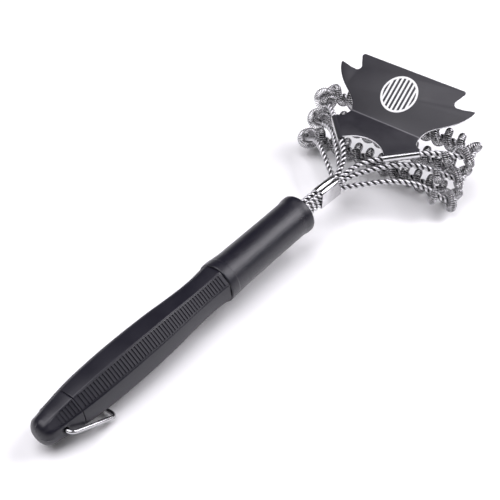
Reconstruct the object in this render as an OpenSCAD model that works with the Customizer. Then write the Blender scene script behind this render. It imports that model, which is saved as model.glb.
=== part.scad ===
// Grill cleaning brush with wire-wound coils instead of bristles.
// +X runs from the butt of the handle to the head, +Z is up, and the brush lies on
// its lowest coil and its hanging loop. Lengths are in millimetres.

/* [Handle] */
// Length from the butt to the front rim of the sleeve
handle_len = 288; // [280:1:294]
// Height of the handle's axis above the table at the butt
butt_height = 18.1; // [18:0.1:19]
// Rise of the handle's axis towards the head, in degrees
handle_rise = 3.33; // [3:0.01:3.6]
// Turn of grip, cap and hanging loop about the handle's axis, in degrees
handle_twist = 5; // [0:0.5:5]
// Length of the rounded end cap
cap_len = 31; // [29:1:34]
// Place of the seam between grip and sleeve
seam_at = 183.6; // [178:0.1:190]
// Outer radius of the sleeve
sleeve_r = 16.4; // [15.5:0.1:17]
// Outer radius of the beads at the sleeve's ends
bead_r = 17.4; // [17.2:0.1:18]

/* [Hanging loop] */
// Diameter of the loop's wire
bail_wire = 3.2; // [3:0.1:3.3]
// Distance from the butt to the loop's pivot
pivot_at = 16; // [15:0.5:17]
// Length of the loop from its pivot to its far end
bail_len = 42; // [41:0.5:44]
// Half the distance between the loop's arms
bail_half = 17.2; // [17:0.1:18]

/* [Wire loops] */
// Diameter of the twisted wire rope
rope_d = 5; // [4.6:0.1:5]
// Distance between neighbouring ropes in the clamp
rope_pitch = 5.1; // [5.1:0.05:5.3]
// Thickness of the clamp's sheet
clamp_wall = 0.8; // [0.6:0.1:1]
// Length of the clamp
clamp_len = 27; // [20:1:28]

/* [Coils] */
// Diameter of the spring that is wound round the rope
spring_d = 7.3; // [6:0.1:7.4]
// Distance between turns on the cross bar
coil_pitch = 13.2; // [12:0.1:16]
// Distance between turns round the loop's ends, where they fan out
fan_pitch = 19; // [18:0.5:22]

/* [Scraper] */
// Thickness of the sheet
sheet_t = 1.2; // [0.8:0.1:1.5]
// Slope of the scraping blade, in degrees
blade_slope = 39.3; // [36:0.1:42]
// Slope of the flange that the loop carries, in degrees
flange_slope = 8.8; // [8.6:0.1:9]
// Length of the blade from bend to front edge
blade_len = 53.5; // [50:0.5:56]
// Outer diameter of the printed mark
emblem_d = 35; // [24:1:36]

/* [Hidden] */
$fn = 64;

// Half of the overall length: it centres the brush over the origin.
half_len = 227.8;

// Handle
grip_bore = 9.05;
plug_r = 11;
plug_len = 13;
tube_r = 9;
tube_wall = 1.4;
tube_from = 118;
sleeve_bore = 13.05;
sleeve_back_wall = 12;
back_bead_len = 9;
front_bead_len = 5;
bead_slope_len = 3;
bead_round = 1.4;
socket_from = 238;
socket_len = 47;
socket_r = 13;
pocket_from = 252;
tube_to = 249;
pin_at = 244;
pin_r = 2;
// Half-widths of the octagonal grip across its flats, by distance from the butt
grip_widths = [
  [24, 13.5], [cap_len, 14.6], [45, 16], [60, 16.8], [76, 17.2], [92, 17.2], [108, 16.95],
  [124, 16.4], [140, 15.4], [154, 14.75], [164, 14.6], [173, 14.85], [180, 15.4],
  [seam_at, 15.7]
];
// Half-angle of each flat, at the grip and at the very butt, where the cap is nearly round
corner_angle = 21.5;
butt_corner_angle = 12;

// Hanging loop
bail_r = bail_wire / 2;
bail_bend = 5;
bail_hole_clearance = 0.05;
bail_stub_end = 8.2;
pivot_z = butt_height + pivot_at * sin(handle_rise);

// Height of the loop's lowest corner above the table at a fold below the handle's axis
function corner_height(fold) =
  let (
    along = cos(fold) * sin(handle_rise)
      - sin(fold) * cos(handle_twist) * cos(handle_rise),
    sideways = -sin(handle_twist) * cos(handle_rise)
  )
  pivot_z + (bail_len - bail_bend) * along + (bail_half - bail_bend) * sideways
    - bail_bend * norm([along, sideways]) - bail_r;

// The fold at which that corner comes to rest on the table, by halving the interval
function rest_fold(low, high, steps) =
  let (mid = (low + high) / 2)
  steps == 0 ? mid
    : corner_height(mid) > 0 ? rest_fold(mid, high, steps - 1)
    : rest_fold(low, mid, steps - 1);

bail_fold = rest_fold(0, 60, 30);

// Rope bundle: two columns of three ropes
rope_r = rope_d / 2;
column_y = rope_pitch / 2;
bundle_z = 34.8;
clamp_from = 314;
rope_sides = 10;
route_steps = 3;

// Coils
spring_r = spring_d / 2;
coil_gap = 0.3;
helix_r = rope_r + spring_r + coil_gap;
coil_r = helix_r + spring_r;
coil_sides = 8;
coil_rings_per_turn = 12;

// Half routes of the three loops, from inside the handle to the end of the cross bar
bundle_route = [[252, 32.7], [268, 33.7], [284, 34.6], [300, 34.8], [320, 34.8]];
bar_end_y = 66;
lower_bar = [422.5, coil_r];
middle_bar = [433, 29.6];
upper_bar = [445, 48.5];
lower_arm = [
  [341, 2.6, 29.7], [349, 8, 31.2], [359, 21, 34.8], [370, 35, 37.6], [380, 48, 36.8],
  [389, 59.5, 32], [396, 69, 24.5], [403, 76, 18], [411.5, 79, 13.4], [419, 75, 10.8]
];
middle_arm = [
  [341, 2.6, 34.8], [351, 4, 37], [363, 13, 41.4], [376, 25, 45], [388, 37, 46.4],
  [398, 50, 44.6], [405, 62, 40.6], [412.5, 73, 35.6], [421.5, 79, 32], [429.5, 75, 30]
];
upper_arm = [
  [341, 2.6, 39.9], [350, 3.2, 42.2], [360, 6.4, 45.6], [369, 13, 49.4], [378, 22, 51.4],
  [389, 33.5, 53.1], [400, 45, 54.8], [410, 56.5, 55], [418, 67.5, 53.6],
  [425.5, 76, 51.4], [434, 79, 49.6], [441.5, 75, 48.6]
];
// Length of arm that each coil also covers, measured back from the end of the cross bar
coil_overrun = 48;
// Angle of each coil's winding at the middle of its cross bar, where neighbours clear
coil_phase = 225;

// Scraper
bend_at = [413.6, 60.5];
bend_r = 3;
flange_half = 36.6;
hem_r = 3.7;
hem_bore = rope_r + 0.15;
hem_start = [378, 22, 51.4];
hem_end = [400, 45, 54.8];
emblem_at = 29.5;
emblem_aside = 2;
emblem_t = 0.3;
emblem_rim = 2;
emblem_bar = 2;
emblem_bar_pitch = 4.2;
emblem_side_bars = 3;
// The round cut in the flange, between the hems
flange_arc_r = 28.4;
flange_arc_at = -53;

// ---- Curves ----

function unit(v) = v / norm(v);

function spline_point(a, b, c, d, t) =
  0.5 * (2 * b + (c - a) * t + (2 * a - 5 * b + 4 * c - d) * t * t
    + (3 * b - a - 3 * c + d) * t * t * t);

// A smooth curve through all the points
function smooth(points, steps) =
  let (last = len(points) - 1)
  concat(
    [
      for (i = [0 : last - 1])
      for (k = [0 : steps - 1])
      spline_point(points[max(i - 1, 0)], points[i], points[i + 1],
        points[min(i + 2, last)], k / steps)
    ],
    [points[last]]
  );

function bezier(a, b, c, d, steps) = [
  for (i = [0 : steps])
  let (t = i / steps, s = 1 - t)
  a * s * s * s + b * 3 * s * s * t + c * 3 * s * t * t + d * t * t * t
];

function arc(centre, r, from, to, steps) = [
  for (i = [0 : steps])
  let (a = from + (to - from) * i / steps)
  centre + r * [cos(a), sin(a)]
];

function flip_y(points) = [for (p = points) [p[0], -p[1], p[2]]];

function reversed(points) = [for (i = [len(points) - 1 : -1 : 0]) points[i]];

// Direction of a curve at its i-th point
function heading(points, i) =
  unit(points[min(i + 1, len(points) - 1)] - points[max(i - 1, 0)]);

// Distance along a curve to each of its points
function distances(points) = [
  for (i = 0, d = 0; i < len(points); d = d + norm(points[min(i + 1, len(points) - 1)]
    - points[i]), i = i + 1) d
];

// ---- Solids from rings of points, each turning right-handed about the course ----

module skin(rings) {
  sides = len(rings[0]);
  last = len(rings) - 1;
  walls = [
    for (i = [0 : last - 1])
    for (j = [0 : sides - 1])
    let (a = i * sides, b = a + sides, k = (j + 1) % sides)
    each [[a + j, b + j, b + k], [a + j, b + k, a + k]]
  ];
  start = [for (j = [0 : sides - 1]) j];
  end = [for (j = [sides - 1 : -1 : 0]) last * sides + j];
  polyhedron([for (ring = rings) each ring], concat(walls, [start, end]), convexity = 10);
}

function ring_round(centre, across, up, r, sides) = [
  for (j = [0 : sides - 1])
  let (a = 360 * j / sides)
  centre + r * (cos(a) * across + sin(a) * up)
];

// A round rod along a curve that is never vertical
module rod(points, r, sides) {
  skin([
    for (i = [0 : len(points) - 1])
    let (t = heading(points, i), across = unit(cross([0, 0, 1], t)), up = cross(t, across))
    ring_round(points[i], across, up, r, sides)
  ]);
}

// ---- Handle ----

// Places its children along the handle's axis, with +X from butt to head
module on_axis(distance = 0) {
  translate([0, 0, butt_height])
    rotate([0, -handle_rise, 0])
      translate([distance, 0, 0])
        children();
}

// The same, turned with the grip
module on_grip(distance = 0) {
  on_axis(distance)
    rotate([-handle_twist, 0, 0])
      children();
}

// A cylinder along +X
module bar(r, from, to) {
  translate([from, 0, 0])
    rotate([0, 90, 0])
      cylinder(r = r, h = to - from);
}

// A cylinder along +Y
module cross_bar(r, from, to) {
  translate([0, from, 0])
    rotate([-90, 0, 0])
      cylinder(r = r, h = to - from);
}

// Ring of the octagonal section: each flat has a vertex near either end
function octagon_ring(x, half, angle) = [
  for (k = [0 : 7])
  for (side = [-1, 1])
  let (a = 45 * k + side * angle, r = half / cos(angle))
  [x, r * cos(a), r * sin(a)]
];

module grip_shell() {
  stations = [for (p = smooth(grip_widths, 2)) if (p[0] >= cap_len) p];
  skin([for (p = stations) octagon_ring(p[0], p[1], corner_angle)]);
}

module grip() {
  color("#26272b")
    on_grip()
      difference() {
        grip_shell();
        bar(grip_bore, cap_len - 1, seam_at + 1);
        bar(plug_r + 0.05, cap_len - 1, cap_len + plug_len);
      }
}

module end_cap() {
  dome = 8;
  dome_steps = 6;
  dome_widths = [
    for (i = [0 : dome_steps])
    let (a = 90 * i / dome_steps)
    [dome * (1 - cos(a)), 0.9 + 10.4 * pow(sin(a), 0.8)]
  ];
  widths = concat(dome_widths, [[12, 11.8], [16, 12.5], [24, 13.5], [cap_len, 14.6]]);
  squared_at = 16;
  color("#26272b")
    on_grip()
      difference() {
        union() {
          skin([
            for (p = widths)
            let (roundness = max(0, 1 - p[0] / squared_at))
            octagon_ring(p[0], p[1],
              corner_angle + (butt_corner_angle - corner_angle) * roundness)
          ]);
          bar(plug_r, cap_len - 1, cap_len + plug_len - 0.5);
        }
        for (side = [-1, 1])
          translate([pivot_at, 0, 0])
            rotate([-90 * side, 0, 0])
              translate([0, 0, bail_stub_end - 0.5])
                cylinder(r = bail_r + bail_hole_clearance, h = 12);
      }
}

module front_sleeve() {
  profile = concat(
    [[tube_r + 0.05, seam_at], [bead_r - bead_round, seam_at]],
    arc([bead_r - bead_round, seam_at + bead_round], bead_round, -90, 0, 6),
    [
      [bead_r, seam_at + back_bead_len],
      [sleeve_r, seam_at + back_bead_len + bead_slope_len],
      [sleeve_r, handle_len - front_bead_len - bead_slope_len],
      [bead_r, handle_len - front_bead_len]
    ],
    arc([bead_r - bead_round, handle_len - bead_round], bead_round, 0, 90, 6),
    [
      [sleeve_bore, handle_len],
      [sleeve_bore, seam_at + sleeve_back_wall],
      [tube_r + 0.05, seam_at + sleeve_back_wall]
    ]
  );
  color("#222327")
    on_axis()
      rotate([0, 90, 0])
        rotate_extrude()
          polygon(profile);
}

module core_tube() {
  color("#8f9297")
    on_axis()
      difference() {
        bar(tube_r, tube_from, tube_to);
        bar(tube_r - tube_wall, tube_from - 1, tube_to + 1);
        translate([pin_at, 0, 0])
          cross_bar(pin_r + 0.02, -socket_r, socket_r);
      }
}

module wire_socket() {
  pocket_w = 2 * rope_pitch + 0.3;
  pocket_h = 3 * rope_pitch + 0.3;
  color("#2e2f33")
    on_axis()
      difference() {
        bar(socket_r, socket_from, socket_from + socket_len);
        bar(tube_r + 0.05, socket_from - 1, tube_to + 0.05);
        translate([pocket_from - 0.5, -pocket_w / 2, -pocket_h / 2])
          cube([socket_from + socket_len - pocket_from + 2, pocket_w, pocket_h]);
        translate([pin_at, 0, 0])
          cross_bar(pin_r + 0.02, -socket_r - 1, socket_r + 1);
      }
}

module socket_pin() {
  color("#a5a8ac")
    on_axis(pin_at)
      cross_bar(pin_r, -socket_r + 0.3, socket_r - 0.3);
}

// ---- Hanging loop ----

module bail_elbow() {
  rotate_extrude(angle = 90)
    translate([bail_bend, 0])
      circle(r = bail_r, $fn = 32);
}

module hanging_loop() {
  near_y = bail_half - bail_bend;
  color("#c9ccd0")
    on_grip(pivot_at)
      rotate([0, bail_fold, 0]) {
        translate([bail_len, 0, 0])
          cross_bar(bail_r, -near_y, near_y);
        for (side = [0, 1])
          mirror([0, side, 0]) {
            translate([bail_len - bail_bend, near_y, 0])
              bail_elbow();
            translate([bail_bend, near_y, 0])
              rotate([0, 0, 90])
                bail_elbow();
            translate([0, bail_half, 0])
              bar(bail_r, bail_bend, bail_len - bail_bend);
            cross_bar(bail_r, bail_stub_end, near_y);
          }
      }
}

// ---- Wire loops ----

// The whole course of a loop: out of the handle, round the cross bar and back in
function half_course(arm, bar_xz, row) =
  let (z_shift = (row - 1) * rope_pitch)
  concat(
    smooth(
      concat(
        [for (p = bundle_route) [p[0], column_y, p[1] + z_shift]],
        arm,
        [[bar_xz[0], bar_end_y, bar_xz[1]]]
      ),
      route_steps
    ),
    [for (k = [5 : -1 : 1]) [bar_xz[0], bar_end_y * k / 6, bar_xz[1]]]
  );

function course(arm, bar_xz, row) =
  let (half = half_course(arm, bar_xz, row))
  concat(half, [[bar_xz[0], 0, bar_xz[1]]], reversed(flip_y(half)));

lower_course = course(lower_arm, lower_bar, 0);
middle_course = course(middle_arm, middle_bar, 1);
upper_course = course(upper_arm, upper_bar, 2);

module lower_loop() {
  color("#b4b7bb")
    rod(lower_course, rope_r, rope_sides);
}

module middle_loop() {
  color("#bcbfc3")
    rod(middle_course, rope_r, rope_sides);
}

module upper_loop() {
  color("#c4c7cb")
    rod(upper_course, rope_r, rope_sides);
}

// The outline of a rope bundle's top, grown by a wall
module clamp_outline(wall) {
  half = column_y + rope_r + wall;
  top = rope_pitch;
  bottom = -rope_pitch - rope_r - wall;
  translate([-half, bottom])
    square([2 * half, top - bottom]);
  for (side = [-1, 1])
    translate([side * column_y, top])
      circle(r = rope_r + wall, $fn = 48);
}

module wire_clamp() {
  color("#cfd2d6")
    translate([clamp_from, 0, bundle_z])
      rotate([90, 0, 90])
        linear_extrude(clamp_len)
          difference() {
            clamp_outline(clamp_wall + 0.05);
            clamp_outline(0.05);
          }
}

// ---- Coils ----

// A spring wound round the cross bar, both turns and the ends of the arms
module coil(points, bar_half) {
  along = distances(points);
  xs = [for (i = [0 : len(points) - 1]) [along[i], points[i][0]]];
  ys = [for (i = [0 : len(points) - 1]) [along[i], points[i][1]]];
  zs = [for (i = [0 : len(points) - 1]) [along[i], points[i][2]]];
  total = along[len(along) - 1];
  bar_turns = bar_half / coil_pitch;
  half_turns = bar_turns + coil_overrun / fan_pitch;
  rings = round(half_turns * coil_rings_per_turn);
  helix = [
    for (i = [-rings : rings])
    let (
      turn = half_turns * i / rings,
      fan = max(0, abs(turn) - bar_turns),
      d = total / 2 + sign(i) * (min(abs(turn), bar_turns) * coil_pitch + fan * fan_pitch),
      p = [lookup(d, xs), lookup(d, ys), lookup(d, zs)],
      ahead = [lookup(d + 2, xs), lookup(d + 2, ys), lookup(d + 2, zs)],
      behind = [lookup(d - 2, xs), lookup(d - 2, ys), lookup(d - 2, zs)],
      t = unit(ahead - behind),
      across = unit(cross([0, 0, 1], t)),
      up = cross(t, across),
      a = coil_phase + 360 * turn
    )
    [p, p + helix_r * (cos(a) * across + sin(a) * up)]
  ];
  centres = [for (h = helix) h[1]];
  skin([
    for (i = [0 : len(helix) - 1])
    let (
      t = heading(centres, i),
      out = helix[i][1] - helix[i][0],
      outward = unit(out - (out * t) * t),
      sideways = cross(outward, t)
    )
    ring_round(centres[i], sideways, outward, spring_r, coil_sides)
  ]);
}

module lower_coil() {
  color("#8d9094")
    coil(lower_course, bar_end_y);
}

module middle_coil() {
  color("#8d9094")
    coil(middle_course, bar_end_y);
}

module upper_coil() {
  color("#8d9094")
    coil(upper_course, bar_end_y);
}

// ---- Scraper ----

// How far the outlines of blade and flange run past the bend, and their full depth
bend_lap = 2;
cut_depth = 12;
// Half-width of the sheet the plate is cut from, and its length behind the bend
sheet_half = 74;
sheet_back = 44;

// Right-hand side of the blade's outline, from the bend to the front edge
blade_side = concat(
  bezier([2, 37.2], [9, 39], [13, 46.5], [20.5, 56.6], 6),
  bezier([23, 59.6], [27, 64.4], [33, 68.6], [36.6, 69.8], 5),
  arc([38.2, 68.9], 1.4, 135, 15, 4),
  [[38.6, 64], [37.4, 58.5]],
  arc([41, 53.3], 4, 160, 270, 8),
  arc([blade_len - 2.7, 51.5], 2.7, 100, 0, 6)
);

// Right-hand side of the flange's outline, from the bend back to the hem
flange_side = [
  [-3.5, 36.8], [-8.5, 38.2], [-11, 40.5], [-12.5, 44.6], [-35.2, 21.6]
];

module from_half(points) {
  polygon(concat(points, [for (p = reversed(points)) [p[0], -p[1]]]));
}

module hem_line(side) {
  a = [hem_start[0], side * hem_start[1], hem_start[2]];
  b = [hem_end[0], side * hem_end[1], hem_end[2]];
  d = b - a;
  translate(a)
    rotate([0, acos(d[2] / norm(d)), atan2(d[1], d[0])])
      children();
}

hem_len = norm(hem_end - hem_start);

// Side view of the bent sheet, with the sharp corner of its top surface at the origin
module sheet_profile() {
  angle = blade_slope - flange_slope;
  mid = (blade_slope + flange_slope) / 2;
  centre = bend_r / cos(angle / 2) * [-sin(mid), cos(mid)];
  back = -sheet_back * [cos(flange_slope), sin(flange_slope)];
  front = blade_len * [cos(blade_slope), sin(blade_slope)];
  back_down = sheet_t * [sin(flange_slope), -cos(flange_slope)];
  front_down = sheet_t * [sin(blade_slope), -cos(blade_slope)];
  from = -90 + flange_slope;
  to = -90 + blade_slope;
  polygon(concat(
    [back],
    arc(centre, bend_r, from, to, 6),
    [front, front + front_down],
    arc(centre, bend_r + sheet_t, to, from, 6),
    [back + back_down]
  ));
}

module bent_sheet() {
  rotate([90, 0, 0])
    linear_extrude(2 * sheet_half, center = true)
      sheet_profile();
}

module blade_cut() {
  rotate([0, -blade_slope, 0])
    linear_extrude(cut_depth, center = true)
      from_half(concat([[-bend_lap, flange_half], [1, flange_half]], blade_side));
}

module flange_cut() {
  rotate([0, -flange_slope, 0])
    linear_extrude(cut_depth, center = true)
      difference() {
        from_half(concat([[bend_lap, flange_half], [-1, flange_half]], flange_side));
        translate([flange_arc_at, 0])
          circle(r = flange_arc_r);
      }
}

module scraper_plate() {
  color("#3a3b42")
    difference() {
      translate([bend_at[0], 0, bend_at[1]])
        intersection() {
          bent_sheet();
          union() {
            blade_cut();
            flange_cut();
          }
        }
      for (side = [-1, 1])
        hem_line(side)
          translate([0, 0, -1])
            cylinder(r = hem_r, h = hem_len + 2);
    }
}

module hem(side) {
  hem_line(side)
    difference() {
      cylinder(r = hem_r, h = hem_len);
      translate([0, 0, -1])
        cylinder(r = hem_bore, h = hem_len + 2);
    }
}

module left_hem() {
  color("#d2d5d9")
    hem(1);
}

module right_hem() {
  color("#d2d5d9")
    hem(-1);
}

// Outline of a round cooking grate
module grate(r) {
  difference() {
    circle(r = r);
    circle(r = r - emblem_rim);
  }
  intersection() {
    circle(r = r - emblem_rim / 2);
    for (i = [-emblem_side_bars : emblem_side_bars])
      translate([0, i * emblem_bar_pitch])
        square([2 * r, emblem_bar], center = true);
  }
}

module emblem() {
  color("#f2f2f2")
    translate([bend_at[0], 0, bend_at[1]])
      rotate([0, -blade_slope, 0])
        translate([emblem_at, emblem_aside, 0])
          linear_extrude(emblem_t)
            grate(emblem_d / 2);
}

module place() {
  translate([-half_len, 0, 0])
    children();
}

place() grip();
place() end_cap();
place() front_sleeve();
place() core_tube();
place() wire_socket();
place() socket_pin();
place() hanging_loop();
place() wire_clamp();
place() lower_loop();
place() middle_loop();
place() upper_loop();
place() lower_coil();
place() middle_coil();
place() upper_coil();
place() scraper_plate();
place() left_hem();
place() right_hem();
place() emblem();
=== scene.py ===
"""Looks of a grill cleaning brush: moulded handle, twisted wire loops, spring coils and scraper.

Shapes are worked out in millimetres from the butt of the handle, with +X towards the head and
the table at Z = 0, as in the CAD model. The meshes made from them are in metres, in the row
frame.
"""

import math

import bmesh
import bpy
import numpy as np
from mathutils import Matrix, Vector


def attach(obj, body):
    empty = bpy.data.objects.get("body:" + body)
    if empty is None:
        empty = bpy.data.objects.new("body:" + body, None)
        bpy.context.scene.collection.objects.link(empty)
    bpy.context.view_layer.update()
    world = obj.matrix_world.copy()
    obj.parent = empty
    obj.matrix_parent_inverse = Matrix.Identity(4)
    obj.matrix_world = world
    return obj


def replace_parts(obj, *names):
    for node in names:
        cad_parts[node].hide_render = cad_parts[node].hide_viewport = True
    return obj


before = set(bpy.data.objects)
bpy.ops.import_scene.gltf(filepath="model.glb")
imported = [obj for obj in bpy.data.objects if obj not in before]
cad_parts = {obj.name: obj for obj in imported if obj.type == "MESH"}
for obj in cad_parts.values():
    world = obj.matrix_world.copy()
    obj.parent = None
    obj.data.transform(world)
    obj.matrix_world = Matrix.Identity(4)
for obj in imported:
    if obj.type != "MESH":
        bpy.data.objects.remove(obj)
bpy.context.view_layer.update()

MM = 0.001
HALF_LEN = 227.8  # the row frame's origin lies this far from the butt
BODY = "brush"

# Handle, as in the CAD model
RISE = math.radians(3.33)
TWIST = math.radians(5)
BUTT_HEIGHT = 18.1
HANDLE_LEN = 288
CAP_LEN = 31
SEAM_AT = 183.6
SLEEVE_R = 16.4
BEAD_R = 17.4
GRIP_WIDTHS = [
    (24, 13.5), (CAP_LEN, 14.6), (45, 16), (60, 16.8), (76, 17.2), (92, 17.2), (108, 16.95),
    (124, 16.4), (140, 15.4), (154, 14.75), (164, 14.6), (173, 14.85), (180, 15.4),
    (SEAM_AT, 15.7),
]
CAP_WIDTHS = [(12, 11.8), (16, 12.5), (24, 13.5), (CAP_LEN, 14.6)]
# The cap's blunt dome: its length, where its arc starts in degrees, and its radius at both ends
DOME = 8
DOME_START = 4
BUTT_R = 0.9
DOME_R = 11.3
# Seams: how far the pieces stop short of them, and how far, over what length, rims turn in
CAP_SEAM_GAP = 0.08
SLEEVE_SEAM_GAP = 0.06
LIP = 0.55
LIP_LEN = 0.45

# Sides of the grip and cap: plain and ribbed ones in turn
SIDES = 8
FLAT = 2 * math.pi / SIDES
HALF_FLAT = FLAT / 2
GRIP_CORNER = 1.5
CORNER_STEPS = (0.25, 0.5, 0.75)
# Points across a plain side: place from edge to edge, share of the step, share of a groove
FACET = [(u, 0, 0) for u in (-1, -0.6, -0.2, 0.2, 0.6, 1)]
FACET_CROWN = 0.25
# The same across a ribbed side, which has a narrow channel along one edge
BAND = [
    (-1, 0, 0), (-0.98, 0.6, 0), (-0.95, 1, 0), (-0.86, 1, 0), (-0.84, 1, 1), (-0.4, 1, 1),
    (0, 1, 1), (0.4, 1, 1), (0.79, 1, 1), (0.82, 1, 0), (0.86, 0.93, 0), (0.89, 0.6, 0),
    (0.91, -1, 0), (0.96, -1, 0), (1, 0, 0),
]
MIRRORED_BAND = [(-u, *rest) for u, *rest in BAND[::-1]]
# Two are mirrored, so that each channel lies beside the handle's left or right side
MIRRORED_SIDES = (1, 5)

# Grooves, which leave the ribs between them, and how far a ribbed side stands up
GROOVE_PITCH = 2.84
GROOVE_DEPTH = 0.75
GROOVE_HALF = 0.66
GROOVE_WALL = 0.3
FIRST_GROOVE = 34.3
GROOVES_ON_GRIP = 51
GROOVES_ON_CAP = 7
BAND_STEP = 0.3

# Hanging loop
BAIL_R = 1.6
PIVOT_AT = 16
PIVOT_HOLE_R = 2.3
PIVOT_HOLE_FLOOR = 8
BAIL_LEN = 42
BAIL_HALF = 17.2
BAIL_BEND = 5
BAIL_FOLD = math.radians(26.3)
BAIL_STUB_END = 8.2

# Wire loops
ROPE_PITCH = 5.1
STRAND_R = 1.36
STRAND_SIDES = 12
ROPE_LAY = 10.8
BUNDLE_Z = 34.8
CLAMP_FROM = 314
CLAMP_LEN = 27
BUNDLE_ROUTE = [(252, 32.7), (268, 33.7), (284, 34.6), (300, 34.8), (320, 34.8)]
BAR_END_Y = 66
LOOPS = {
    "lower": {
        "row": 0,
        "bar": (422.5, 10.1),
        "arm": [
            (341, 2.6, 29.7), (349, 8, 31.2), (359, 21, 34.8), (370, 35, 37.6),
            (380, 48, 36.8), (389, 59.5, 32), (396, 69, 24.5), (403, 76, 18),
            (411.5, 79, 13.4), (419, 75, 10.8),
        ],
    },
    "middle": {
        "row": 1,
        "bar": (433, 29.6),
        "arm": [
            (341, 2.6, 34.8), (351, 4, 37), (363, 13, 41.4), (376, 25, 45), (388, 37, 46.4),
            (398, 50, 44.6), (405, 62, 40.6), (412.5, 73, 35.6), (421.5, 79, 32),
            (429.5, 75, 30),
        ],
    },
    "upper": {
        "row": 2,
        "bar": (445, 48.5),
        "arm": [
            (341, 2.6, 39.9), (350, 3.2, 42.2), (360, 6.4, 45.6), (369, 13, 49.4),
            (378, 22, 51.4), (389, 33.5, 53.1), (400, 45, 54.8), (410, 56.5, 55),
            (418, 67.5, 53.6), (425.5, 76, 51.4), (434, 79, 49.6), (441.5, 75, 48.6),
        ],
    },
}

# Spring coils
SPRING_R = 3.65
HELIX_R = 6.45
COIL_PITCH = 13.2
FAN_PITCH = 19
COIL_OVERRUN = 48
COIL_PHASE = math.radians(225)
SPRING_WIRE_R = 0.4
SPRING_PITCH = 1.45

# Scraper
SHEET_T = 1.2
EDGE_BEVEL = 0.25
BLADE_SLOPE = math.radians(39.3)
FLANGE_SLOPE = math.radians(8.8)
BEND_AT = (413.6, 60.5)
BEND_R = 3
BEND_CUTS = 4
BEND_CUT_STEP = 0.21
# How far either side of the bend the painted highlight reaches
BEND_HIGHLIGHT_REACH = 0.9
# The flange's slanted edges, where across less along is over this, run into the hems
SLANTED_EDGE = 56.2
# Hems. Angles round them are in degrees: 0 points away from the sheet and 90 up
HEM_START = (378, 22, 51.4)
HEM_END = (400, 45, 54.8)
HEM_R = 3.7
HEM_BORE = 2.8
HEM_RIM = 0.2
HEM_TURN = (-60, 268)
HEM_STEPS = 48
HEM_COATED_FROM = {1: 45, -1: 66}
HEM_COATED_TO = 215
EMBLEM_AT = 29.5
EMBLEM_ASIDE = 2
EMBLEM_R = 17.5
EMBLEM_RIM = 2
EMBLEM_BAR = 2
EMBLEM_BAR_PITCH = 4.2
EMBLEM_SIDE_BARS = 3
RING_INK = 0.12
BAR_INK = 0.1
BAR_LAP = 0.02

# Studio, in metres and degrees of the row frame
LENS = 70.35
CAMERA_AT = (-0.45946, -0.37730, 0.53831)
CAMERA_TURN = (49.698, 0, -50.414)
LIGHT_TINT = (1, 0.978, 1.035)
FLOOR_HALF = 6


# ---- Curves and frames ----


def smooth(points, steps):
    """A Catmull-Rom curve through all the points."""
    points = np.array(points, float)
    last = len(points) - 1
    curve = []
    for i in range(last):
        a, b = points[max(i - 1, 0)], points[i]
        c, d = points[i + 1], points[min(i + 2, last)]
        for t in np.arange(steps) / steps:
            pull = (2 * a - 5 * b + 4 * c - d) * t * t + (3 * b - a - 3 * c + d) * t**3
            curve.append(0.5 * (2 * b + (c - a) * t + pull))
    curve.append(points[last])
    return np.array(curve)


def distances(points):
    """Distance along a curve to each of its points."""
    steps = np.linalg.norm(np.diff(points, axis=0), axis=1)
    return np.concatenate([[0], np.cumsum(steps)])


def along(points, places):
    """Points of a curve at the given distances along it."""
    run = distances(points)
    return np.stack([np.interp(places, run, points[:, k]) for k in range(3)], -1)


def unit(vectors):
    return vectors / np.linalg.norm(vectors, axis=-1, keepdims=True)


def headings(points):
    """Which way a curve runs at each of its points."""
    return unit(np.gradient(points, axis=0))


def squared(out, heading):
    """Directions with their share along the headings taken away."""
    return unit(out - np.sum(out * heading, 1)[:, None] * heading)


def angles_round(sides):
    """Angles spread evenly over a full turn."""
    return np.arange(sides) * 2 * math.pi / sides


def steady_frame(points):
    """Two directions across a curve that turn as little as they can along it."""
    heading = headings(points)
    across = [unit(np.cross([0, 0, 1], heading[0]))]
    for t in heading[1:]:
        carried = across[-1] - np.dot(across[-1], t) * t
        across.append(unit(carried))
    across = np.array(across)
    return across, np.cross(heading, across)


def rings_round(points, across, up, radius, sides):
    """A ring of points round each point of a curve."""
    turn = angles_round(sides)
    ring = np.cos(turn)[:, None] * across[:, None] + np.sin(turn)[:, None] * up[:, None]
    return points[:, None] + radius * ring


def arc(centre, radius, start, end, steps):
    """Points of a plane arc. Angles are in degrees."""
    turn = np.radians(np.linspace(start, end, steps + 1))
    return np.array(centre) + radius * np.stack([np.cos(turn), np.sin(turn)], -1)


def bezier(a, b, c, d, steps):
    """Points of a cubic curve from a to d, pulled towards b and c."""
    a, b, c, d = (np.array(p, float) for p in (a, b, c, d))
    t = np.linspace(0, 1, steps + 1)[:, None]
    s = 1 - t
    return a * s**3 + 3 * b * s * s * t + 3 * c * s * t * t + d * t**3


# ---- Meshes ----


def loft(rings, closed=False):
    """Points and faces of a skin over rings of points, its ends capped unless it's closed."""
    rings = np.asarray(rings, float)
    count, sides = rings.shape[:2]
    spans = count if closed else count - 1
    here = np.arange(spans)[:, None] * sides
    there = (np.arange(spans)[:, None] + 1) % count * sides
    j = np.arange(sides)
    k = (j + 1) % sides
    faces = np.stack([here + j, here + k, there + k, there + j], -1).reshape(-1, 4).tolist()
    if not closed:
        faces.append(list(range(sides))[::-1])
        faces.append(list(range((count - 1) * sides, count * sides)))
    return rings.reshape(-1, 3), faces


def joined(parts):
    """One set of points and faces from several."""
    points, faces, count = [], [], 0
    for part_points, part_faces in parts:
        points.append(part_points)
        faces += [[i + count for i in face] for face in part_faces]
        count += len(part_points)
    return np.concatenate(points), faces


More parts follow.
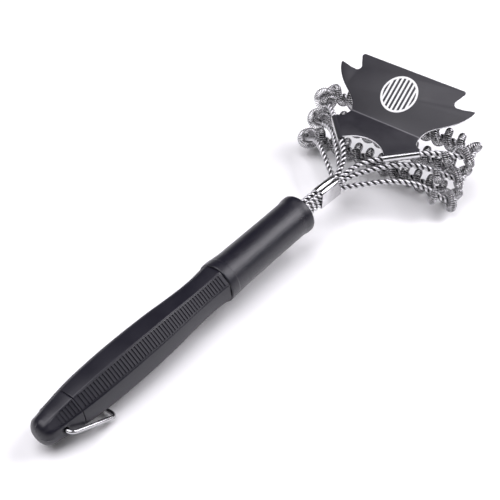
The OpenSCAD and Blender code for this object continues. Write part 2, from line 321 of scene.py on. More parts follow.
def fresh_mesh(name, shape):
    """A mesh from points in millimetres from the butt, and faces, with its normals outwards."""
    points, faces = shape
    mesh = bpy.data.meshes.new(name)
    mesh.from_pydata((points * MM - (HALF_LEN * MM, 0, 0)).tolist(), [], faces)
    working = bmesh.new()
    working.from_mesh(mesh)
    bmesh.ops.recalc_face_normals(working, faces=working.faces)
    working.to_mesh(mesh)
    working.free()
    return mesh


def without(mesh, cutters):
    """The mesh with other shapes cut out of it."""
    scene = bpy.context.scene
    block = bpy.data.objects.new("block", mesh)
    scene.collection.objects.link(block)
    tools = []
    for shape in cutters:
        tool = bpy.data.objects.new("tool", fresh_mesh("tool", shape))
        scene.collection.objects.link(tool)
        modifier = block.modifiers.new("cut", "BOOLEAN")
        modifier.operation = "DIFFERENCE"
        modifier.solver = "EXACT"
        modifier.object = tool
        tools.append(tool)
    graph = bpy.context.evaluated_depsgraph_get()
    result = bpy.data.meshes.new_from_object(block.evaluated_get(graph))
    for spare in [block] + tools:
        bpy.data.objects.remove(spare)
    return result


def add_object(name, mesh, materials, body, sharp_angle):
    """Links a mesh in the scene as a piece that rides on a body."""
    for material in materials:
        mesh.materials.append(material)
    mesh.shade_smooth()
    mesh.set_sharp_from_angle(angle=math.radians(sharp_angle))
    piece = bpy.data.objects.new(name, mesh)
    bpy.context.scene.collection.objects.link(piece)
    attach(piece, body)
    return piece


def add_mesh(name, shape, material, body=BODY, sharp_angle=35, painted_light=None):
    """Makes a piece, and stores painted light and shade for each point if that's given: 1 lit, 0
    shaded.
    """
    mesh = fresh_mesh(name, shape)
    if painted_light is not None:
        layer = mesh.attributes.new("painted_light", "FLOAT", "POINT")
        layer.data.foreach_set("value", painted_light)
    return add_object(name, mesh, [material], body, sharp_angle)


# ---- Materials ----


def new_material(name):
    """An empty node material, its tree and its shader."""
    material = bpy.data.materials.new(name)
    material.use_nodes = True
    tree = material.node_tree
    return material, tree, tree.nodes["Principled BSDF"]


def add_node(tree, kind, inputs=None, **settings):
    node = tree.nodes.new(kind)
    for key, value in settings.items():
        setattr(node, key, value)
    for key, value in (inputs or {}).items():
        if isinstance(value, bpy.types.NodeSocket):
            tree.links.new(value, node.inputs[key])
        else:
            node.inputs[key].default_value = value
    return node


def noise(tree, scale, detail=4, roughness=0.55, stretch=(1, 1, 1)):
    """A noise pattern in object space, with its scale per metre."""
    place = add_node(tree, "ShaderNodeTexCoord").outputs["Object"]
    mapped = add_node(tree, "ShaderNodeMapping", {"Vector": place, "Scale": stretch})
    inputs = {
        "Vector": mapped.outputs["Vector"],
        "Scale": scale,
        "Detail": detail,
        "Roughness": roughness,
    }
    return add_node(tree, "ShaderNodeTexNoise", inputs).outputs["Fac"]


def mixed(tree, factor, low, high):
    """A colour between two, chosen by a pattern's middle range."""
    ramp = add_node(tree, "ShaderNodeValToRGB", {"Fac": factor})
    ramp.color_ramp.elements[0].position = 0.32
    ramp.color_ramp.elements[0].color = (*low, 1)
    ramp.color_ramp.elements[1].position = 0.68
    ramp.color_ramp.elements[1].color = (*high, 1)
    return ramp.outputs["Color"]


def ranged(tree, factor, low, high):
    """A number between two, chosen by a pattern's middle range."""
    inputs = {"Value": factor, "From Min": 0.3, "From Max": 0.7, "To Min": low, "To Max": high}
    return add_node(tree, "ShaderNodeMapRange", inputs).outputs["Result"]


def bumped(tree, shader, height, strength, distance):
    """Gives a shader a fine relief."""
    inputs = {"Height": height, "Strength": strength, "Distance": distance}
    bump = add_node(tree, "ShaderNodeBump", inputs)
    tree.links.new(bump.outputs["Normal"], shader.inputs["Normal"])


def moulded_plastic(name, dark, light, rough, grain, relief):
    """Black plastic with a fine moulded grain and faint handling marks."""
    material, tree, shader = new_material(name)
    marks = noise(tree, 55, 5)
    fine = noise(tree, grain, 2)
    tree.links.new(mixed(tree, marks, dark, light), shader.inputs["Base Color"])
    tree.links.new(ranged(tree, marks, rough[0], rough[1]), shader.inputs["Roughness"])
    shader.inputs["Specular IOR Level"].default_value = 0.5
    bumped(tree, shader, fine, strength=relief, distance=0.00015)
    return material


def drawn_steel(name, dark, light, rough, streak, relief):
    """Bare steel whose brightness and polish vary along fine streaks."""
    material, tree, shader = new_material(name)
    cloud = noise(tree, 160, 4)
    fine = noise(tree, 900, 3, stretch=streak)
    shader.inputs["Metallic"].default_value = 1
    tree.links.new(mixed(tree, cloud, dark, light), shader.inputs["Base Color"])
    tree.links.new(ranged(tree, fine, rough[0], rough[1]), shader.inputs["Roughness"])
    bumped(tree, shader, fine, strength=relief, distance=0.0001)
    return material


def wound_steel(name, dark, light, rough):
    """Steel wire with painted shade: full colour on the wire's outside, darkened down in the
    crevices and on inner sides, where shade falls.
    """
    material, tree, shader = new_material(name)
    cloud = noise(tree, 220, 4)
    fine = noise(tree, 1400, 3)
    # Painted shade: the per-point attribute (1 lit, 0 shaded) scales the colour down to a tenth
    # where shade falls
    painted_light = add_node(tree, "ShaderNodeAttribute", attribute_name="painted_light").outputs["Fac"]
    crevice_shade = {"Value": painted_light, "From Min": 0.4, "From Max": 0.9, "To Min": 0.1, "To Max": 1}
    painted_shade = add_node(tree, "ShaderNodeMapRange", crevice_shade).outputs["Result"]
    bare = mixed(tree, cloud, dark, light)
    shaded_colour = add_node(tree, "ShaderNodeVectorMath", {0: bare, 1: painted_shade}, operation="MULTIPLY")
    shader.inputs["Metallic"].default_value = 1
    tree.links.new(shaded_colour.outputs["Vector"], shader.inputs["Base Color"])
    tree.links.new(ranged(tree, fine, rough[0], rough[1]), shader.inputs["Roughness"])
    bumped(tree, shader, fine, strength=0.05, distance=0.0001)
    return material


def coated_sheet(name):
    """Slate-grey baked coating, slightly mottled, with a painted highlight that makes it paler
    along the bend.
    """
    material, tree, shader = new_material(name)
    mottle = noise(tree, 70, 6, 0.6)
    fine = noise(tree, 2600, 2)
    slate = mixed(tree, mottle, (0.014, 0.013, 0.018), (0.021, 0.02, 0.026))
    # Painted highlight: a paler coating colour stands in for the light caught along the bend
    bend_highlight = mixed(tree, mottle, (0.12, 0.118, 0.128), (0.17, 0.167, 0.178))
    painted_light = add_node(tree, "ShaderNodeAttribute", attribute_name="painted_light").outputs["Fac"]
    blend = add_node(tree, "ShaderNodeMix", data_type="RGBA")
    tree.links.new(painted_light, blend.inputs["Factor"])
    tree.links.new(slate, blend.inputs[6])
    tree.links.new(bend_highlight, blend.inputs[7])
    tree.links.new(blend.outputs[2], shader.inputs["Base Color"])
    tree.links.new(ranged(tree, mottle, 0.45, 0.54), shader.inputs["Roughness"])
    bumped(tree, shader, fine, strength=0.18, distance=0.00008)
    return material


def printed_white(name):
    """White screen print with a dry, slightly uneven surface."""
    material, tree, shader = new_material(name)
    cover = noise(tree, 420, 5)
    ink = mixed(tree, cover, (0.8, 0.8, 0.79), (0.9, 0.9, 0.9))
    tree.links.new(ink, shader.inputs["Base Color"])
    tree.links.new(ranged(tree, cover, 0.5, 0.62), shader.inputs["Roughness"])
    bumped(tree, shader, cover, strength=0.15, distance=0.00005)
    return material


# ---- Handle ----


def from_handle(points):
    """Points given as distance along, across and above the handle's axis, put in place."""
    x, y, z = np.moveaxis(np.asarray(points, float), -1, 0)
    across = y * math.cos(TWIST) + z * math.sin(TWIST)
    above = -y * math.sin(TWIST) + z * math.cos(TWIST)
    return np.stack(
        [
            x * math.cos(RISE) - above * math.sin(RISE),
            across,
            BUTT_HEIGHT + x * math.sin(RISE) + above * math.cos(RISE),
        ],
        -1,
    )


def is_ribbed(k):
    return k % 2 == 1


def side_points(k):
    """Points across one of the grip's sides."""
    if not is_ribbed(k):
        return FACET
    return MIRRORED_BAND if k in MIRRORED_SIDES else BAND


def ribbed_strips(ring_len):
    """Which strips of faces along the handle carry the ribs."""
    ribbed = np.zeros(ring_len, bool)
    start = 0
    for k in range(SIDES):
        points = side_points(k)
        if is_ribbed(k):
            places = [i for i, (_, _, in_groove) in enumerate(points) if in_groove]
            ribbed[start + places[0]:start + places[-1]] = True
        start += len(points) + len(CORNER_STEPS)
    return ribbed


def roughen_ribs(mesh, rings):
    """Gives the ribs the mesh's second material."""
    ribbed = np.tile(ribbed_strips(rings.shape[1]), len(rings) - 1)
    for face, on_ribs in zip(mesh.polygons, ribbed):
        face.material_index = int(on_ribs)


def handle_rings(stations, half, corner, step, cut):
    """Octagonal rings, ribbed on every second side."""
    edge = (half - corner) * math.tan(HALF_FLAT)
    columns = []
    for k in range(SIDES):
        angle = FLAT * k
        out = np.array([math.cos(angle), math.sin(angle)])
        side = np.array([-math.sin(angle), math.cos(angle)])
        for u, on_step, in_groove in side_points(k):
            crown = 0 if is_ribbed(k) else FACET_CROWN * (1 - u * u)
            height = half + crown + on_step * step - in_groove * cut
            columns.append(height[:, None] * out + (u * edge)[:, None] * side)
        middle = angle + HALF_FLAT
        centre = (half - corner) / math.cos(HALF_FLAT)
        for share in CORNER_STEPS:
            turn = angle + FLAT * share
            columns.append(
                centre[:, None] * np.array([math.cos(middle), math.sin(middle)])
                + corner[:, None] * np.array([math.cos(turn), math.sin(turn)])
            )
    rings = np.stack(columns, 1)
    x = np.repeat(stations[:, None, None], rings.shape[1], 1)
    return np.concatenate([x, rings], -1)


def groove_centres(first, last):
    """Places of the grooves, counted from the first one on the grip."""
    return [FIRST_GROOVE + GROOVE_PITCH * k for k in range(first, last + 1)]


def groove_stations(centres):
    """Where rings are needed: either side of each groove's two walls."""
    offsets = (-GROOVE_HALF - GROOVE_WALL, -GROOVE_HALF, GROOVE_HALF, GROOVE_HALF + GROOVE_WALL)
    return [c + offset for c in centres for offset in offsets]


def groove_share(stations, centres):
    """How deep in a groove each station lies, from 0 to 1."""
    gap = np.min(np.abs(stations[:, None] - np.array(centres)[None]), 1)
    return np.clip((GROOVE_HALF + GROOVE_WALL - gap) / GROOVE_WALL, 0, 1)


def lip(stations, at, sign):
    """How far a rim is turned in near a seam."""
    reach = np.clip(1 - sign * (stations - at) / LIP_LEN, 0, 1)
    return LIP * reach**2


def rim_stations(at, sign):
    """Where rings are needed to round a rim."""
    return [at + sign * offset for offset in (0, 0.15, 0.3, LIP_LEN)]


def grip_half(stations):
    """Half-width of the grip."""
    curve = smooth(GRIP_WIDTHS, 8)
    return np.interp(stations, curve[:, 0], curve[:, 1])


def add_grip(material, ribbed):
    centres = groove_centres(0, GROOVES_ON_GRIP)
    start, end = CAP_LEN + CAP_SEAM_GAP, SEAM_AT - SLEEVE_SEAM_GAP
    rims = rim_stations(start, 1) + [start + 1, end - 2] + rim_stations(end, -1)
    stations = np.array(sorted(groove_stations(centres) + rims))
    half = grip_half(stations) - lip(stations, start, 1) - lip(stations, end, -1)
    corner = np.full(len(stations), GRIP_CORNER)
    step = np.full(len(stations), BAND_STEP)
    cut = GROOVE_DEPTH * groove_share(stations, centres)
    rings = handle_rings(stations, half, corner, step, cut)
    piece = add_mesh("grip_shell", loft(from_handle(rings)), material)
    piece.data.materials.append(ribbed)
    roughen_ribs(piece.data, rings)
    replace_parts(piece, "grip")


def cap_half(stations):
    """Half-width of the cap: a blunt dome, then the grip's taper."""
    turn = np.radians(np.arange(DOME_START, 91, 2))
    radius = BUTT_R + (DOME_R - BUTT_R) * np.sin(turn) ** 0.8
    dome = np.stack([DOME * (1 - np.cos(turn)), radius], -1)
    curve = smooth(np.concatenate([dome[-1:], CAP_WIDTHS]), 8)
    curve = np.concatenate([dome[:-1], curve])
    return np.interp(stations, curve[:, 0], curve[:, 1])


def dished(rings):
    """Sinks the cap's sides round the two holes that hold the hanging loop."""
    depth, reach, sides_from = 1.3, 3.2, 6
    gap = np.hypot(rings[..., 0] - PIVOT_AT, rings[..., 2])
    sink = depth * np.exp(-((gap / reach) ** 4))
    across = rings[..., 1]
    sunk = rings.copy()
    sunk[..., 1] -= np.sign(across) * np.where(np.abs(across) > sides_from, sink, 0)
    return sunk


def pivot_hole(sign):
    """The hole that holds one end of the hanging loop, on the left or the right."""
    turn = np.radians(np.arange(0, 360, 12))
    outside = 20
    radius = PIVOT_HOLE_R
    rings = [
        [(PIVOT_AT + radius * math.cos(a), sign * y, radius * math.sin(a)) for a in turn]
        for y in (PIVOT_HOLE_FLOOR, outside)
    ]
    return loft(from_handle(rings))


def cap_stations(centres, end):
    """Where the cap's rings lie: evenly along it, and at its dome, grooves and rim."""
    spacing = 0.7
    dome = DOME * (1 - np.cos(np.radians(np.arange(DOME_START, 90, 5))))
    rest = np.arange(DOME + spacing, end - 1, spacing)
    rim = rim_stations(end, -1)
    return np.sort(np.concatenate([dome, rest, groove_stations(centres), rim]))


def add_end_cap(material, ribbed):
    centres = groove_centres(-GROOVES_ON_CAP, -2)
    end = CAP_LEN - CAP_SEAM_GAP
    stations = cap_stations(centres, end)
    half = cap_half(stations) - lip(stations, end, -1)
    square_from, fade_len, roundest = 17, 12, 0.93
    squareness = np.clip(stations / square_from, 0, 1)
    corner = half * roundest * (1 - squareness) ** 1.5 + GRIP_CORNER
    corner = np.minimum(corner, half * roundest)
    fade = np.clip((stations - DOME) / fade_len, 0, 1)
    cut = GROOVE_DEPTH * groove_share(stations, centres) * fade
    rings = handle_rings(stations, half, corner, BAND_STEP * fade, cut)
    solid = fresh_mesh("end_cap_shell", loft(from_handle(dished(rings))))
    roughen_ribs(solid, rings)
    mesh = without(solid, [pivot_hole(sign) for sign in (-1, 1)])
    piece = add_object("end_cap_shell", mesh, [material, ribbed], BODY, 35)
    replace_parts(piece, "end_cap")


def sleeve_profile():
    """Side view of the sleeve as distance along and radius, from its back rim's bore."""
    back, front = SEAM_AT, HANDLE_LEN
    rim_r, bore, tube_hole, end_wall = 1.1, 13.05, 9.05, 12
    seat, seat_r = 0.1, 14.5
    quarter = np.radians(np.arange(0, 91, 15))
    profile = [(back + seat, tube_hole), (back + seat, seat_r)]
    profile += [
        (back + rim_r - rim_r * math.cos(a), BEAD_R - rim_r + rim_r * math.sin(a))
        for a in quarter
    ]
    profile += [(back + 4, BEAD_R), (back + 7.6, BEAD_R - 0.04), (back + 8.6, BEAD_R - 0.1)]
    profile += [(back + 8.75, BEAD_R - 0.2), (back + 9.6, BEAD_R - 0.26)]
    profile += [(back + 18, SLEEVE_R + 0.12), (back + 21, SLEEVE_R)]
    profile += [(back + 40, SLEEVE_R - 0.03), (front - 30, SLEEVE_R)]
    profile += [(front - 10.5, SLEEVE_R + 0.08), (front - 9, SLEEVE_R + 0.18)]
    profile += [(front - 7, SLEEVE_R + 0.5)]
    profile += [(front - 5, BEAD_R - 0.18), (front - 4.2, BEAD_R - 0.05), (front - 2.5, BEAD_R)]
    profile += [
        (front - rim_r + rim_r * math.sin(a), BEAD_R - rim_r + rim_r * math.cos(a))
        for a in quarter
    ]
    profile += [(front, bore + 0.4), (front - 0.4, bore)]
    profile += [(back + end_wall, bore), (back + end_wall, tube_hole)]
    return profile


def add_sleeve(material):
    sides = 128
    turn = angles_round(sides)
    rings = [
        np.stack([np.full(sides, x), r * np.cos(turn), r * np.sin(turn)], -1)
        for x, r in sleeve_profile()
    ]
    shape = loft(from_handle(rings), closed=True)
    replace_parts(add_mesh("sleeve_shell", shape, material), "front_sleeve")


# ---- Hanging loop ----


def bail_line():
    """The loop's centreline in its own plane, from one stub's end round to the other's."""
    near = BAIL_HALF - BAIL_BEND
    half = [np.array([[0, BAIL_STUB_END]])]
    half.append(arc((BAIL_BEND, near), BAIL_BEND, 180, 90, 10))
    half.append(arc((BAIL_LEN - BAIL_BEND, near), BAIL_BEND, 90, 0, 10))
    half = np.concatenate(half)
    return np.concatenate([half, half[::-1] * (1, -1)])


def add_hanging_loop(material):
    line = bail_line()
    x, y = line.T
    flat = np.stack([x * math.cos(BAIL_FOLD), y, -x * math.sin(BAIL_FOLD)], -1)
    flat[:, 0] += PIVOT_AT
    course = from_handle(flat)
    heading = headings(course)
    along_arm, across_arms = course[12] - course[1], course[-2] - course[1]
    up = np.broadcast_to(unit(np.cross(along_arm, across_arms)), heading.shape)
    rings = rings_round(course, unit(np.cross(up, heading)), up, BAIL_R, 24)
    piece = add_mesh("wire_bail", loft(rings), material, body="bail")
    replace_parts(piece, "hanging_loop")


# ---- Wire loops ----


def loop_course(loop):
    """Centreline of a whole loop, from the handle round the cross bar and back."""
    steps = 12
    shift = (loop["row"] - 1) * ROPE_PITCH
    bar_x, bar_z = loop["bar"]
    half = [(x, ROPE_PITCH / 2, z + shift) for x, z in BUNDLE_ROUTE]
    half = smooth(half + loop["arm"] + [(bar_x, BAR_END_Y, bar_z)], steps)
    bar = [(bar_x, BAR_END_Y * k / steps, bar_z) for k in range(steps - 1, 0, -1)]
    half = np.concatenate([half, bar])
    return np.concatenate([half, [(bar_x, 0, bar_z)], half[::-1] * (1, -1, 1)])


def strand(points, across, up, turn):
    """One of a rope's two strands, wound round the rope's own line."""
    out = np.cos(turn)[:, None] * across + np.sin(turn)[:, None] * up
    line = points + STRAND_R * out
    heading = headings(line)
    outward = squared(out, heading)
    return loft(rings_round(line, np.cross(outward, heading), outward, STRAND_R, STRAND_SIDES))


def add_rope(name, loop, material):
    """A rope of two strands with painted shade: bright along the outside of each strand,
    darkened on its inner side and in the crevices.
    """
    rings_per_lay = 14
    course = loop_course(loop)
    run = distances(course)
    places = np.arange(0, run[-1], ROPE_LAY / rings_per_lay)
    points = along(course, places)
    across, up = steady_frame(points)
    quarter = math.pi / 2 * loop["row"]
    turn = 2 * math.pi * places / ROPE_LAY + quarter
    parts = [strand(points, across, up, turn + half_turn) for half_turn in (0, math.pi)]
    outward = np.sin(angles_round(STRAND_SIDES))
    # Painted shade per point: 1 on each strand's outside, 0 on its inner side
    painted_light = np.tile(0.5 + outward / 2, 2 * len(points))
    piece = add_mesh(
        name + "_rope", joined(parts), material, sharp_angle=60, painted_light=painted_light
    )
    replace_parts(piece, name + "_loop")


def clamp_ring(grow):
    """Outline of the clamp across the ropes, grown outwards: two ridges on top, square below."""
    radius = ROPE_PITCH / 2 + grow
    half = ROPE_PITCH / 2 + radius
    top = ROPE_PITCH
    bottom = -ROPE_PITCH - radius
    valley_rise = 0.75
    corner = 0.7 + grow * 0.6
    side = [(0, bottom), (half * 0.5, bottom)]
    side += arc((half - corner, bottom + corner), corner, -90, 0, 6).tolist()
    side += [(half, 0), (half, top * 0.6)]
    side += arc((ROPE_PITCH / 2, top), radius, 0, 148, 18).tolist()
    side = np.array(side)
    valley = np.array([(0, top + valley_rise + grow)])
    return np.concatenate([side, valley, side[:0:-1] * (-1, 1)])


def add_clamp(material):
    """A band of sheet metal with rounded rims."""
    wall, rim, ease = 0.8, 0.22, 0.07
    start, end = CLAMP_FROM, CLAMP_FROM + CLAMP_LEN
    outer = [(start, rim), (start, wall - rim), (start + ease, wall - ease), (start + rim, wall)]
    outer += [(end - rim, wall), (end - ease, wall - ease), (end, wall - rim), (end, rim)]
    inner = [(end - rim, 0), (start + rim, 0)]
    rings = []
    for x, grow in outer + inner:
        outline = clamp_ring(grow)
        rings.append([(x, y, BUNDLE_Z + z) for y, z in outline])
    shape = loft(rings, closed=True)
    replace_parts(add_mesh("clamp_band", shape, material), "wire_clamp")


# ---- Coils ----


def coil_line(course, turns):
    """Points of the winding round a loop, and the way out from the loop to each of them."""
    run = distances(course)
    step = 2
    bar_turns = BAR_END_Y / COIL_PITCH
    fan = np.maximum(0, np.abs(turns) - bar_turns)
    reach = np.minimum(np.abs(turns), bar_turns) * COIL_PITCH + fan * FAN_PITCH
    places = run[-1] / 2 + np.sign(turns) * reach
    core = along(course, places)
    heading = unit(along(course, places + step) - along(course, places - step))
    across = unit(np.cross([0, 0, 1], heading))
    up = np.cross(heading, across)
    angle = COIL_PHASE + 2 * math.pi * turns
    out = np.cos(angle)[:, None] * across + np.sin(angle)[:, None] * up
    return core + HELIX_R * out, out


def add_coil(name, loop, material):
    """A fine open spring that is itself wound round the loop."""
    segments, sides, rough_count = 14, 5, 1500
    half_turns = BAR_END_Y / COIL_PITCH + COIL_OVERRUN / FAN_PITCH
    course = loop_course(loop)
    rough_turns = np.linspace(-half_turns, half_turns, rough_count)
    rough_run = distances(coil_line(course, rough_turns)[0])
    count = int(rough_run[-1] / SPRING_PITCH * segments)
    places = np.linspace(0, rough_run[-1], count)
    line, out = coil_line(course, np.interp(places, rough_run, rough_turns))
    heading = headings(line)
    outward = squared(out, heading)
    sideways = np.cross(outward, heading)
    turn = 2 * math.pi * places / SPRING_PITCH
    spoke = np.cos(turn)[:, None] * outward + np.sin(turn)[:, None] * sideways
    wire = line + (SPRING_R - SPRING_WIRE_R) * spoke
    wire_heading = headings(wire)
    rings = rings_round(wire, spoke, np.cross(wire_heading, spoke), SPRING_WIRE_R, sides)
    # Painted shade: the wire's side towards the spring's axis is darkened, its outer side left
    # bright
    painted_light = np.tile(0.5 + np.cos(angles_round(sides)) / 2, count)
    piece = add_mesh(
        name + "_spring", loft(rings), material, sharp_angle=80, painted_light=painted_light
    )
    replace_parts(piece, name + "_coil")


# ---- Scraper ----


def plate_outline():
    """Half of the sheet's outline, as distance from the bend and across, from back to front."""
    back_arc = arc((-53, 0), 28.4, 0, 50.4, 16)
    side = [(-12.5, 44.6), (-11, 40.5), (-8.5, 38.2), (-3.5, 36.8), (-1.4, 36.6), (1.4, 36.7)]
    half = [back_arc, side]
    half.append(bezier((2, 37.2), (9, 39), (13, 46.5), (20.5, 56.6), 12))
    half.append(bezier((23, 59.6), (27, 64.4), (33, 68.6), (36.6, 69.8), 8))
    half.append(arc((38.2, 68.9), 1.4, 135, 15, 6))
    half.append([(38.6, 64), (37.4, 58.5)])
    half.append(arc((41, 53.3), 4, 160, 270, 12))
    half.append(arc((50.8, 51.5), 2.7, 100, 0, 8))
    return np.concatenate(half)


def bent(place, depth):
    """X and Z of a point of the sheet, by its distance from the bend and depth under the top."""
    opening = BLADE_SLOPE - FLANGE_SLOPE
    setback = BEND_R * math.tan(opening / 2)
    if abs(place) >= setback:
        slope = BLADE_SLOPE if place > 0 else FLANGE_SLOPE
        x = place * math.cos(slope) + depth * math.sin(slope)
        z = place * math.sin(slope) - depth * math.cos(slope)
    else:
        slope = FLANGE_SLOPE + opening * (place + setback) / (2 * setback)
        middle = (BLADE_SLOPE + FLANGE_SLOPE) / 2
        centre = BEND_R / math.cos(opening / 2)
        x = (BEND_R + depth) * math.sin(slope) - centre * math.sin(middle)
        z = centre * math.cos(middle) - (BEND_R + depth) * math.cos(slope)
    return BEND_AT[0] + x, BEND_AT[1] + z


def flat_sheet():
    """The sheet before it's bent, with the lines across that let it bend."""
    half = plate_outline()
    outline = np.concatenate([half, half[:0:-1] * (1, -1)])
    sheet = bmesh.new()
    top = [sheet.verts.new((v, u, 0)) for v, u in outline]
    sheet.faces.new(top)
    for k in range(-BEND_CUTS, BEND_CUTS + 1):
        geometry = sheet.verts[:] + sheet.edges[:] + sheet.faces[:]
        place = (BEND_CUT_STEP * k, 0, 0)
        bmesh.ops.bisect_plane(sheet, geom=geometry, plane_co=place, plane_no=(1, 0, 0))
    grown = bmesh.ops.extrude_face_region(sheet, geom=sheet.faces[:])
    lower = [v for v in grown["geom"] if isinstance(v, bmesh.types.BMVert)]
    bmesh.ops.translate(sheet, verts=lower, vec=(0, 0, -SHEET_T))
    bmesh.ops.recalc_face_normals(sheet, faces=sheet.faces)
    return sheet


def bare_edges(sheet):
    """Softens the sheet's rim and gives it the second material, apart from its slanted edges."""
    for face in sheet.faces:
        face.material_index = 1 if abs(face.normal.z) < 0.5 else 0
    rim = [
        e for e in sheet.edges
        if len(e.link_faces) == 2
        and e.link_faces[0].material_index != e.link_faces[1].material_index
    ]
    bmesh.ops.bevel(
        sheet, geom=rim, offset=EDGE_BEVEL, segments=2, profile=0.5, affect="EDGES", material=1
    )
    for face in sheet.faces:
        place, side, _ = face.calc_center_median()
        if abs(side) - place > SLANTED_EDGE:
            face.material_index = 0


def add_plate(coating, bare):
    """The scraper: one bent sheet with bare edges and a painted highlight along its bend."""
    sheet = flat_sheet()
    bare_edges(sheet)
    painted_light = sheet.verts.layers.float.new("painted_light")
    for vert in sheet.verts:
        # Painted highlight: 1 at the middle of the bend, fading to 0 over the reach either side
        vert[painted_light] = max(0, 1 - abs(vert.co.x) / BEND_HIGHLIGHT_REACH)
        x, z = bent(vert.co.x, -vert.co.z)
        vert.co = Vector(((x - HALF_LEN) * MM, vert.co.y * MM, z * MM))
    mesh = bpy.data.meshes.new("scraper_blade")
    sheet.to_mesh(mesh)
    sheet.free()
    piece = add_object("scraper_blade", mesh, [coating, bare], BODY, 25)
    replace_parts(piece, "scraper_plate")


def add_hem(name, side, bare, coating):
    """A seam of the sheet, rolled round the upper loop, open along its underside.

    It's coated over its top and inner side, and bare on its outer side.
    """
    start = np.array(HEM_START) * (1, side, 1)
    end = np.array(HEM_END) * (1, side, 1)
    heading = unit(end - start)
    up = unit(np.array([0, 0, 1]) - heading[2] * heading)
    across = np.cross(up, heading) * side
    turn = np.radians(np.linspace(*HEM_TURN, HEM_STEPS + 1))
    length = np.linalg.norm(end - start)
    profile = [
        (HEM_RIM, HEM_BORE), (0, HEM_BORE + HEM_RIM), (0, HEM_R - HEM_RIM), (HEM_RIM, HEM_R),
        (length - HEM_RIM, HEM_R), (length, HEM_R - HEM_RIM), (length, HEM_BORE + HEM_RIM),
        (length - HEM_RIM, HEM_BORE),
    ]
    rings = []
    for angle in turn:
        out = math.cos(angle) * across + math.sin(angle) * up
        rings.append([start + place * heading + radius * out for place, radius in profile])
    piece = add_mesh(name + "_roll", loft(rings), bare)
    piece.data.materials.append(coating)
    coated_from, coated_to = math.radians(HEM_COATED_FROM[side]), math.radians(HEM_COATED_TO)
    coated = (turn[:-1] > coated_from) & (turn[1:] < coated_to)
    for face, is_coated in zip(piece.data.polygons, np.repeat(coated, len(profile))):
        face.material_index = int(is_coated)
    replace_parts(piece, name)


def print_point(x, y, height):
    """A point on the blade's top face, from the mark's middle."""
    place = EMBLEM_AT + x
    return (
        BEND_AT[0] + place * math.cos(BLADE_SLOPE) - height * math.sin(BLADE_SLOPE),
        EMBLEM_ASIDE + y,
        BEND_AT[1] + place * math.sin(BLADE_SLOPE) + height * math.cos(BLADE_SLOPE),
    )


def print_patch(outline):
    """A thin layer of ink with the given outline."""
    layers = [[print_point(x, y, height) for x, y in outline] for height in (0, BAR_INK)]
    return loft(layers)


def print_ring(outer, inner):
    """A ring of ink, thicker than the bars so that their ends lie under it."""
    turn = np.radians(np.arange(0, 360, 3))
    profile = [(inner, 0), (outer, 0), (outer, RING_INK), (inner, RING_INK)]
    rings = [
        [print_point(r * math.cos(a), r * math.sin(a), height) for r, height in profile]
        for a in turn
    ]
    return loft(rings, closed=True)


def add_emblem(material):
    """A plain round grate as the printed mark."""
    inner = EMBLEM_R - EMBLEM_RIM
    parts = [print_ring(EMBLEM_R, inner)]
    for k in range(-EMBLEM_SIDE_BARS, EMBLEM_SIDE_BARS + 1):
        edges = k * EMBLEM_BAR_PITCH + np.linspace(-EMBLEM_BAR / 2, EMBLEM_BAR / 2, 7)
        reach = np.sqrt(inner**2 - edges**2) + BAR_LAP
        ends = list(zip(reach, edges)) + list(zip(-reach[::-1], edges[::-1]))
        parts.append(print_patch(ends))
    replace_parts(add_mesh("grate_print", joined(parts), material), "emblem")


# ---- Inner pieces that keep their CAD shape ----


def finish_inner(materials):
    """Gives each of these nodes its material. The slot names given with them are not used."""
    for node, (material, slot) in materials.items():
        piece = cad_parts[node]
        piece.data.materials.clear()
        piece.data.materials.append(material)


# ---- Studio ----


def add_camera():
    data = bpy.data.cameras.new("camera")
    data.lens = LENS
    data.sensor_width = 36
    data.clip_start = 0.01
    camera = bpy.data.objects.new("camera", data)
    camera.location = CAMERA_AT
    camera.rotation_euler = [math.radians(a) for a in CAMERA_TURN]
    bpy.context.scene.collection.objects.link(camera)
    bpy.context.scene.camera = camera


def add_softbox(name, place, size, power):
    """A square light that faces the middle of the brush."""
    data = bpy.data.lights.new(name, "AREA")
    data.shape = "SQUARE"
    data.size = size
    data.energy = power
    data.color = LIGHT_TINT
    light = bpy.data.objects.new(name, data)
    light.location = place
    light.rotation_euler = (-Vector(place)).to_track_quat("-Z", "Y").to_euler()
    bpy.context.scene.collection.objects.link(light)


def add_floor():
    mesh = bpy.data.meshes.new("floor")
    half = FLOOR_HALF
    corners = [(-half, -half, 0), (half, -half, 0), (half, half, 0), (-half, half, 0)]
    mesh.from_pydata(corners, [], [(0, 1, 2, 3)])
    material, tree, shader = new_material("pale_floor")
    tint = mixed(tree, noise(tree, 3, 3), (0.945, 0.945, 0.945), (0.965, 0.965, 0.965))
    tree.links.new(tint, shader.inputs["Base Color"])
    shader.inputs["Roughness"].default_value = 0.7
    shader.inputs["Specular IOR Level"].default_value = 0.1
    mesh.materials.append(material)
    floor = bpy.data.objects.new("floor", mesh)
    bpy.context.scene.collection.objects.link(floor)


def add_world():
    """A studio that is pale near the horizon and dark overhead."""
    world = bpy.data.worlds.new("studio")
    bpy.context.scene.world = world
    world.use_nodes = True
    tree = world.node_tree
    place = add_node(tree, "ShaderNodeTexCoord").outputs["Generated"]
    height = add_node(tree, "ShaderNodeSeparateXYZ", {"Vector": place}).outputs["Z"]
    inputs = {"Value": height, "From Min": 0.02, "From Max": 0.25, "To Min": 0.5, "To Max": 0.05}
    level = add_node(tree, "ShaderNodeMapRange", inputs).outputs["Result"]
    tree.links.new(level, tree.nodes["Background"].inputs["Color"])


def add_studio():
    add_camera()
    add_floor()
    add_world()
    add_softbox("key_softbox", (0.96, -0.66, 1.1), 1.05, 23)
    add_softbox("top_softbox", (-0.5, 0.25, 1.46), 1.5, 27)
    bpy.context.scene.view_settings.view_transform = "Standard"


add_studio()

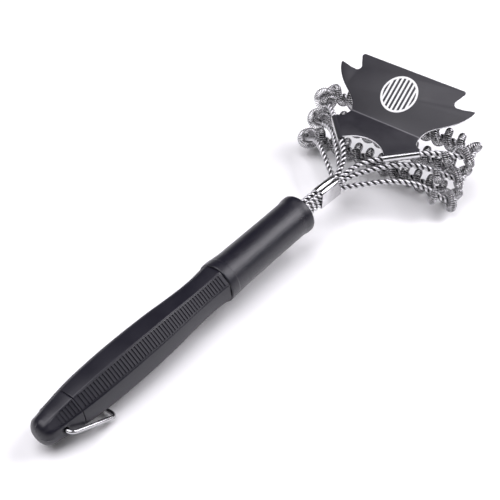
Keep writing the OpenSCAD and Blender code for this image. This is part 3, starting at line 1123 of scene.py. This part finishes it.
handle_colours = [(0.0055, 0.005, 0.011), (0.009, 0.0085, 0.015)]
grip_black = moulded_plastic("grip_black", *handle_colours, (0.33, 0.41), 2000, 0.25)
ribbed_black = moulded_plastic("ribbed_black", *handle_colours, (0.5, 0.58), 2000, 0.25)
sleeve_black = moulded_plastic("sleeve_black", *handle_colours, (0.265, 0.345), 2200, 1)
bright_wire = drawn_steel(
    "bright_wire", (0.44, 0.44, 0.45), (0.54, 0.54, 0.55), (0.16, 0.24), (1, 1, 1), 0.01
)
clamp_steel = drawn_steel(
    "clamp_steel", (0.58, 0.575, 0.585), (0.67, 0.665, 0.675), (0.14, 0.24), (0.06, 1, 1), 0.04
)
rope_steel = wound_steel("rope_steel", (0.56, 0.555, 0.57), (0.74, 0.735, 0.75), (0.28, 0.4))
coil_steel = wound_steel("coil_steel", (0.42, 0.415, 0.43), (0.84, 0.835, 0.85), (0.2, 0.3))
inner_steel = drawn_steel(
    "inner_steel", (0.42, 0.42, 0.43), (0.55, 0.55, 0.56), (0.35, 0.5), (0.1, 1, 1), 0.15
)
edge_steel = drawn_steel(
    "edge_steel", (0.7, 0.7, 0.71), (0.85, 0.85, 0.86), (0.25, 0.38), (1, 1, 1), 0.1
)
socket_black = moulded_plastic(
    "socket_black", (0.014, 0.014, 0.015), (0.02, 0.02, 0.022), (0.5, 0.62), 1500, 0.4
)

add_grip(grip_black, ribbed_black)
add_end_cap(grip_black, ribbed_black)
add_sleeve(sleeve_black)
add_hanging_loop(bright_wire)
add_clamp(clamp_steel)
for loop_name, loop in LOOPS.items():
    add_rope(loop_name, loop, rope_steel)
    add_coil(loop_name, loop, coil_steel)
slate_coating = coated_sheet("slate_coating")
add_plate(slate_coating, edge_steel)
add_hem("left_hem", 1, clamp_steel, slate_coating)
add_hem("right_hem", -1, clamp_steel, slate_coating)
add_emblem(printed_white("white_print"))
finish_inner(
    {
        "core_tube": (inner_steel, "inner_steel"),
        "socket_pin": (inner_steel, "inner_steel"),
        "wire_socket": (socket_black, "sleeve_plastic"),
    }
)
